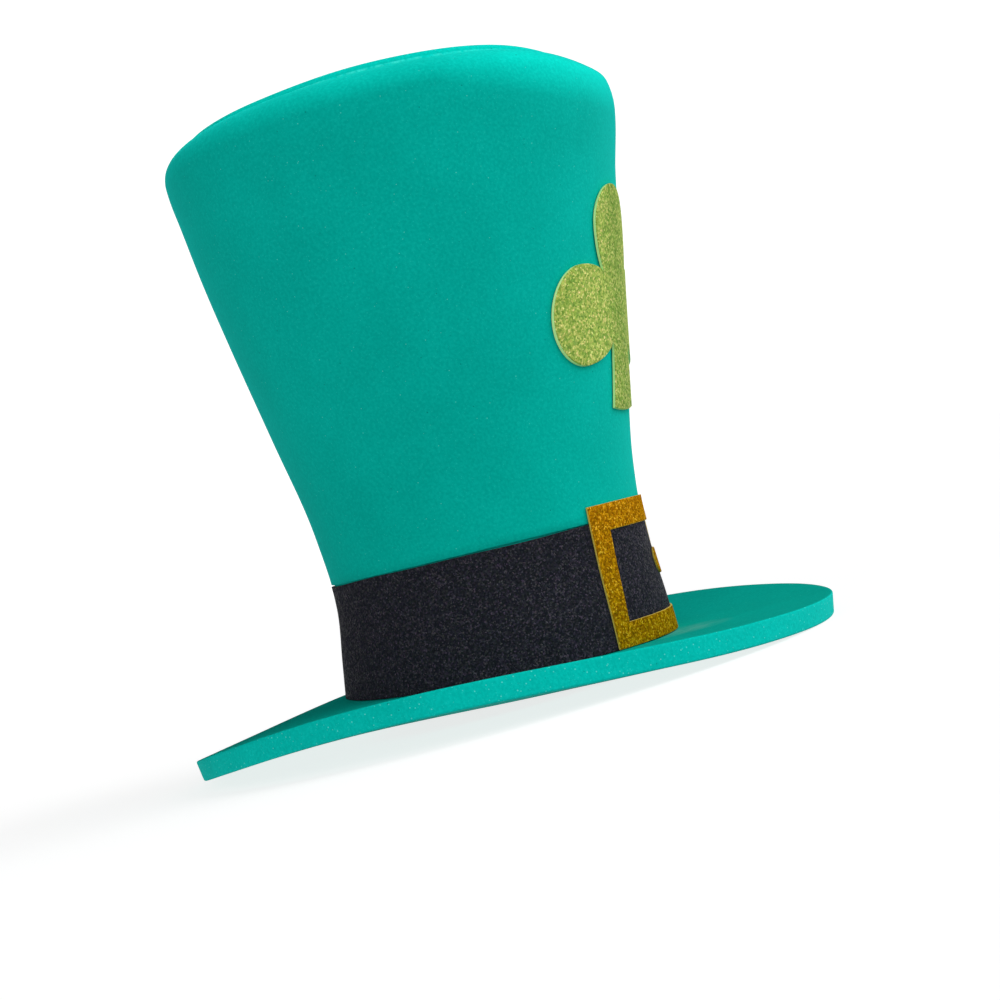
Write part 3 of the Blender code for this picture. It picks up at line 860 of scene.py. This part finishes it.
def make_crown_top():
    direction = angles_round(CROWN_SIDES)
    sides = len(direction)
    side = SEAM_RADIUS - GAP
    edge = TOP_ROUND
    bottom = TOP_HEIGHT - TOP_THICKNESS
    round_steps = 9
    section = [(radius, bottom) for radius in (*TOP_MIDDLE_RADII, TOP_FLAT_RADIUS)]
    section += [(radius, bottom) for radius in np.linspace(TOP_FLAT_RADIUS, side, 5)[1:]]
    seam_from = len(section)
    section += [(side, TOP_HEIGHT - depth) for depth in TOP_SEAM_DEPTHS]
    round_from = len(section) - 1
    section += arc((side - edge, TOP_HEIGHT - edge), edge, 0.0, 90.0, round_steps)
    round_to = round_from + round_steps - 1
    section += [(radius, TOP_HEIGHT) for radius in np.linspace(side - edge, TOP_FLAT_RADIUS, 9)[1:]]
    section += [(radius, TOP_HEIGHT) for radius in TOP_MIDDLE_RADII[::-1]]
    rings = []
    for radius, height in section:
        uneven_share = float(smooth_step(TOP_UNEVEN_FROM, SEAM_RADIUS, radius))
        wave = unevenness(direction, height, TOP_UNEVEN) * uneven_share
        rings.append(on_circle(radius, height - top_droop(radius, direction) + wave, direction))
    points, faces = loft(rings, closed_section=False)
    middles = np.array([[0.0, 0.0, bottom], [0.0, 0.0, TOP_HEIGHT]])
    points, faces = close_ends(points, faces, sides, middles)
    if face_normal(points, faces[0])[2] > 0:
        faces = [f[::-1] for f in faces]
    strip = np.append(strip_of_faces(len(rings) - 1, sides), np.full(2 * sides, -1))
    # The disc's side in the seam takes the lighter seam foam: painted highlight, with glue crumbs
    on_seam = (strip >= seam_from) & (strip < round_from)
    # The upper rounding takes the lighter copy of the foam, a painted highlight
    on_round = (strip >= round_from) & (strip < round_to)
    return make_piece(
        "crown_top_foam", points, faces, [teal_disc, teal_seam_glue_and_highlight, teal_round_painted_highlight], "crown_top",
        sharp=50.0, material_of=np.select([on_seam, on_round], [1, 2], 0),
    )


# Band

def band_sway(direction, height):
    """How far the band's edges run up and down; most at its top."""
    share = height / BAND_TOP
    return (0.25 * np.sin(4 * direction + 0.6) + 0.15 * np.sin(9 * direction + 2.0)) * MM * share ** 4


def make_band():
    direction = angles_round(BAND_SIDES, fine_at_back=True)
    edge = BAND_EDGE_ROUND
    edge_steps = 4
    full = BAND_TOP - BAND_BOTTOM
    outer = [(across, BAND_BOTTOM + up) for across, up in arc((-edge, edge), edge, -90.0, 0.0, edge_steps)]
    outer += [(0.0, BAND_BOTTOM + full * share) for share in np.linspace(0.05, 0.95, 22)]
    outer += [(across, BAND_TOP + up) for across, up in arc((-edge, -edge), edge, 0.0, 90.0, edge_steps)]
    inner = [(-BAND_THICKNESS, BAND_BOTTOM + full * share) for share in np.linspace(1.0, 0.0, 10)]
    seam = back_seam(direction, *BAND_SEAM)
    rings = []
    for k, (across, height) in enumerate(outer + inner):
        groove = seam if k < len(outer) else 0.0
        radius = crown_radius(height) + BAND_PROUD + across - groove
        rings.append(crown_points(radius, height + band_sway(direction, height), direction))
    points, faces = loft(rings)
    faces = face_outwards(points, faces)
    # Both roundings but for the strip next to the face, and the back of the band, are plain foam
    strip = strip_of_faces(len(rings), len(direction))
    cut = (strip < edge_steps - 1) | (strip >= len(outer) - edge_steps)
    return make_piece(
        "hat_band_glitter", points, faces, [black_glitter, black_edge], "hat_band",
        material_of=cut,
    )


# Buckle

def buckle_half(height, column):
    return np.radians(smooth_table(BUCKLE_ROWS, height, column, 1.0))


def buckle_outline():
    """Points once round the frame, as shares: across from -1 to 1, and level from 0 to 1."""
    corners = ((1.0, 0.0), (1.0, 1.0), (-1.0, 1.0), (-1.0, 0.0))
    side_steps = (60, 72, 60, 72)
    across, level = [], []
    for k, steps in enumerate(side_steps):
        (across_from, level_from), (across_to, level_to) = corners[k], corners[(k + 1) % 4]
        shares = np.arange(steps) / steps
        across += list(across_from + (across_to - across_from) * shares)
        level += list(level_from + (level_to - level_from) * shares)
    return np.array(across), np.array(level)


def bar_section():
    """A bar's section: share from outer to inner edge, height in thicknesses, and whether it is cut edge."""
    edge = BAR_ROUND
    section = [(0.0, 0.12, True), (0.0, 0.78, True), (0.3 * edge, 0.93, False), (edge, 1.0, False)]
    section += [(share, 1.0, False) for share in (0.2, 0.35, 0.5, 0.65, 0.8)]
    section += [(1.0 - edge, 1.0, False), (1.0 - 0.3 * edge, 0.93, True)]
    section += [(1.0, 0.78, True), (1.0, 0.12, True)]
    section += [(1.0 - edge, 0.0, False), (0.5, 0.0, False), (edge, 0.0, True)]
    return section


def make_buckle_frame():
    heights = {row[0]: row[1] * MM for row in BUCKLE_ROWS}
    across, level = buckle_outline()
    outer_height = heights["bottom"] + (heights["top"] - heights["bottom"]) * level
    opening = heights["opening_top"] - heights["opening_bottom"]
    inner_height = heights["opening_bottom"] + opening * level
    outer_angle = across * buckle_half(outer_height, 2)
    inner_angle = across * buckle_half(inner_height, 3)
    rings, cut = [], []
    for share, rise, is_cut in bar_section():
        angle = outer_angle + (inner_angle - outer_angle) * share
        height = outer_height + (inner_height - outer_height) * share
        swell = BUCKLE_SWELL * np.sin(angle * 9.0 + height * 60.0) if rise > 0.9 else 0.0
        rings.append(on_crown(angle, height, SKIN_LIFT + BUCKLE_THICKNESS * rise + swell))
        cut += [is_cut] * len(across)
    points, faces = loft(rings)
    faces = face_outwards(points, faces)
    return make_piece(
        "buckle_frame_glitter", points, faces, [gold_glitter, gold_edge], "buckle_frame",
        sharp=55.0, material_of=cut,
    )


def cut_sheet(outline, centre, wrap, lift, thickness):
    """A thin sheet of a star-shaped outline: its points, its faces, and which faces are its cut edge."""
    edge = SHEET_EDGE_ROUND
    outline = np.asarray(outline)
    before, after = np.roll(outline, 1, axis=0), np.roll(outline, -1, axis=0)
    tangent = after - before
    normal = np.stack([tangent[:, 1], -tangent[:, 0]], -1)
    normal = normal / np.linalg.norm(normal, axis=1, keepdims=True)
    if np.einsum("ij,ij->i", normal, outline - centre).sum() < 0:
        normal = -normal
    inset = outline - normal * edge
    rings = []
    for share in np.linspace(0.05, 1.0, 16):
        rings.append(wrap(centre + (inset - centre) * share, lift + thickness))
    rings.append(wrap(outline - normal * edge * 0.3, lift + thickness - 0.3 * edge))
    cut_from = len(rings)
    rings.append(wrap(outline, lift + thickness - edge))
    rings.append(wrap(outline, lift + edge * 0.4))
    cut_to = len(rings)
    rings.append(wrap(outline - normal * edge * 0.5, lift))
    for share in (0.7, 0.35, 0.05):
        rings.append(wrap(centre + (inset - centre) * share, lift))
    points, faces = loft(rings, closed_section=False)
    sides = len(outline)
    middles = [wrap(centre[None, :], lift + thickness)[0], wrap(centre[None, :], lift)[0]]
    points, faces = close_ends(points, faces, sides, middles)
    outwards = face_normal(points, faces[0])
    middle = points[faces[0][:3]].mean(0)
    if outwards[0] * middle[0] + outwards[1] * middle[1] < 0:
        faces = [f[::-1] for f in faces]
    strip = strip_of_faces(len(rings) - 1, sides)
    cut = list((strip >= cut_from) & (strip < cut_to)) + [False] * (2 * sides)
    return points, faces, cut


def make_buckle_tongue():
    radius = float(crown_radius(TONGUE_MIDDLE)) + SKIN_LIFT
    half_angle = min(row[3] for row in BUCKLE_ROWS if row[0] in ("lower_middle", "upper_middle"))
    bar = math.radians(half_angle) * radius
    root = -bar + 2.0 * GAP
    half = 0.5 * TONGUE_HEIGHT
    end = TONGUE_TIP - half
    outline = [(root + (end - root) * s, TONGUE_MIDDLE - half) for s in np.linspace(0.0, 1.0, 40)]
    outline += arc((end, TONGUE_MIDDLE), half, -90.0, 90.0, 40)[1:-1]
    outline += [(end + (root - end) * s, TONGUE_MIDDLE + half) for s in np.linspace(0.0, 1.0, 40)]
    outline += [(root, TONGUE_MIDDLE + half * s) for s in np.linspace(1.0, -1.0, 20)[1:-1]]
    centre = np.array([0.5 * (root + end), TONGUE_MIDDLE])

    def wrap(flat, lift):
        return on_crown(flat[:, 0] / radius, flat[:, 1], lift)

    points, faces, cut = cut_sheet(outline, centre, wrap, SKIN_LIFT, BUCKLE_THICKNESS)
    return make_piece(
        "buckle_tongue_glitter", points, faces, [gold_glitter, gold_edge], "buckle_tongue",
        sharp=55.0, material_of=cut,
    )


# Shamrock

def leaf_reach(direction, turn, start):
    """Distance from the shamrock's centre to the far edge of an egg-shaped leaf, along each direction."""
    along = np.cos(direction - turn)
    aside = np.sin(direction - turn)
    middle = start + LEAF_INNER
    reach = np.zeros_like(direction)
    for long_half, outer in ((LEAF_OUTER, True), (LEAF_INNER, False)):
        a = (along / long_half) ** 2 + (aside / LEAF_HALF_WIDTH) ** 2
        b = -2.0 * along * middle / long_half ** 2
        c = (middle / long_half) ** 2 - 1.0
        inside = b * b - 4.0 * a * c
        root = (-b + np.sqrt(np.maximum(inside, 0.0))) / (2.0 * a)
        far = root * along > middle
        fits = (inside > 0.0) & (root > 0.0) & (far if outer else ~far)
        reach = np.where(fits, np.maximum(reach, root), reach)
    return reach


def stem_reach(direction):
    """Distance from the shamrock's centre to the stem's edge, along each direction; 0 for directions up."""
    tiny = 1e-6
    length = SHAMROCK_CENTRE - STEM_BOTTOM
    steep = -np.cos(direction)
    side = np.abs(np.sin(direction))
    flare = (STEM_HALF_BOTTOM - STEM_HALF_TOP) / length
    room = side - flare * steep
    to_side = np.where(room > tiny, STEM_HALF_TOP / np.maximum(room, tiny), 1.0)
    to_bottom = length / np.maximum(steep, tiny)
    across = np.minimum(to_bottom * side / STEM_HALF_BOTTOM, 1.0)
    bulged = to_bottom + STEM_BOTTOM_BULGE * (1.0 - across ** 2)
    return np.where(steep <= 0.0, 0.0, np.where(to_bottom < to_side, bulged, to_side))


def make_shamrock():
    direction = -math.pi + 2.0 * math.pi * np.arange(SHAMROCK_SIDES) / SHAMROCK_SIDES
    corner = math.pi - math.atan2(STEM_HALF_BOTTOM, SHAMROCK_CENTRE - STEM_BOTTOM)
    for target in (-corner, corner):
        direction[np.argmin(np.abs(direction - target))] = target
    reach = stem_reach(direction)
    for _, turn, start in LEAVES:
        reach = np.maximum(reach, leaf_reach(direction, math.radians(turn), start * MM))
    outline = np.stack([-np.sin(direction) * reach, SHAMROCK_CENTRE + np.cos(direction) * reach], -1)

    def wrap(flat, lift):
        return on_crown(flat[:, 0] / (crown_radius(flat[:, 1]) + lift), flat[:, 1], lift)

    centre = np.array([0.0, SHAMROCK_CENTRE])
    points, faces, cut = cut_sheet(outline, centre, wrap, SHAMROCK_LIFT, SHAMROCK_THICKNESS)
    return make_piece(
        "shamrock_glitter", points, faces, [green_glitter, green_edge], "shamrock",
        sharp=55.0, material_of=cut,
    )


brim = make_brim()
crown_wall = make_crown_wall()
crown_top = make_crown_top()
make_band()
make_buckle_frame()
make_buckle_tongue()
make_shamrock()


# Floor, light and camera

def make_floor():
    """A pale floor that shows the hat's soft shadow; its glow keeps it as white as the backdrop."""
    mesh = bpy.data.meshes.new("floor")
    size = FLOOR_HALF_SIZE
    corners = [(-size, -size, 0), (size, -size, 0), (size, size, 0), (-size, size, 0)]
    mesh.from_pydata(corners, [], [(0, 1, 2, 3)])
    material = bpy.data.materials.new("floor_white")
    material.use_nodes = True
    shader = material.node_tree.nodes["Principled BSDF"]
    shader.inputs["Base Color"].default_value = (FLOOR_COLOUR, FLOOR_COLOUR, FLOOR_COLOUR, 1.0)
    shader.inputs["Roughness"].default_value = 0.9
    shader.inputs["Specular IOR Level"].default_value = 0.0
    shader.inputs["Emission Color"].default_value = (*WHITE, 1.0)
    shader.inputs["Emission Strength"].default_value = FLOOR_GLOW
    mesh.materials.append(material)
    floor = bpy.data.objects.new("floor", mesh)
    bpy.context.scene.collection.objects.link(floor)
    floor.visible_diffuse = False


def make_lamp(name, turn, rise, strength):
    """A broad, distant lamp; turn is from the hat's front towards the wearer's right. Both are in degrees."""
    data = bpy.data.lights.new(name, "SUN")
    data.angle = LAMP_SOFTNESS
    data.energy = strength
    lamp = bpy.data.objects.new(name, data)
    bpy.context.scene.collection.objects.link(lamp)
    turn, rise = math.radians(turn), math.radians(rise)
    away = Vector((-math.sin(turn) * math.cos(rise), -math.cos(turn) * math.cos(rise), math.sin(rise)))
    lamp.location = away * LAMP_DISTANCE
    lamp.rotation_mode = "QUATERNION"
    lamp.rotation_quaternion = (-away).to_track_quat("-Z", "Y")


def make_world():
    """White behind the hat; as a light, dim above the horizon and brighter below it."""
    world = bpy.data.worlds.new("studio")
    world.use_nodes = True
    tree = world.node_tree
    place = tree.nodes.new("ShaderNodeTexCoord")
    axes = tree.nodes.new("ShaderNodeSeparateXYZ")
    tree.links.new(place.outputs["Generated"], axes.inputs[0])
    strength = tree.nodes.new("ShaderNodeMapRange")
    strength.inputs["From Min"].default_value = -HORIZON
    strength.inputs["From Max"].default_value = HORIZON
    strength.inputs["To Min"].default_value = BOUNCE_LIGHT
    strength.inputs["To Max"].default_value = SKY_LIGHT
    tree.links.new(axes.outputs["Z"], strength.inputs["Value"])
    light = tree.nodes["Background"]
    light.inputs["Color"].default_value = (*WHITE, 1.0)
    tree.links.new(strength.outputs["Result"], light.inputs["Strength"])
    backdrop = tree.nodes.new("ShaderNodeBackground")
    backdrop.inputs["Color"].default_value = (*WHITE, 1.0)
    backdrop.inputs["Strength"].default_value = BACKDROP
    path = tree.nodes.new("ShaderNodeLightPath")
    mix = tree.nodes.new("ShaderNodeMixShader")
    tree.links.new(path.outputs["Is Camera Ray"], mix.inputs["Fac"])
    tree.links.new(light.outputs[0], mix.inputs[1])
    tree.links.new(backdrop.outputs[0], mix.inputs[2])
    tree.links.new(mix.outputs[0], tree.nodes["World Output"].inputs["Surface"])
    bpy.context.scene.world = world


def make_camera():
    front, right_side, up = Vector((0.0, -1.0, 0.0)), Vector((-1.0, 0.0, 0.0)), Vector((0.0, 0.0, 1.0))
    away = front * math.sin(CAMERA_TURN) * math.cos(CAMERA_RISE)
    away += right_side * math.cos(CAMERA_TURN) * math.cos(CAMERA_RISE) + up * math.sin(CAMERA_RISE)
    forward = -away
    right = forward.cross(up).normalized()
    above = right.cross(forward)
    rolled_right = right * math.cos(CAMERA_ROLL) + above * math.sin(CAMERA_ROLL)
    rolled_up = above * math.cos(CAMERA_ROLL) - right * math.sin(CAMERA_ROLL)
    middle = 0.5 * PICTURE_PIXELS
    seen = Vector((FOOT_IN_PICTURE[0] - middle, middle - FOOT_IN_PICTURE[1], FOCAL_PIXELS)).normalized()
    aim = Vector((0.0, 0.0, 1.0)).rotation_difference(seen).to_matrix()
    axes = aim @ Matrix((rolled_right, rolled_up, forward))
    turn = HAT.to_3x3()
    x, y, z = turn @ axes[0], turn @ axes[1], -(turn @ axes[2])
    camera = bpy.data.objects.new("camera", bpy.data.cameras.new("camera"))
    bpy.context.scene.collection.objects.link(camera)
    place = HAT @ (away * CAMERA_DISTANCE)
    camera.matrix_world = Matrix((
        (x.x, y.x, z.x, place.x),
        (x.y, y.y, z.y, place.y),
        (x.z, y.z, z.z, place.z),
        (0.0, 0.0, 0.0, 1.0),
    ))
    camera.data.sensor_width = SENSOR_WIDTH
    camera.data.lens = SENSOR_WIDTH * FOCAL_PIXELS / PICTURE_PIXELS
    camera.data.clip_start = NEAREST_SEEN
    camera.data.clip_end = FARTHEST_SEEN
    bpy.context.scene.camera = camera


make_floor()
make_world()
for lamp in LAMPS:
    make_lamp(*lamp)
make_camera()
bpy.context.scene.view_settings.view_transform = "Standard"

bpy.context.view_layer.update()
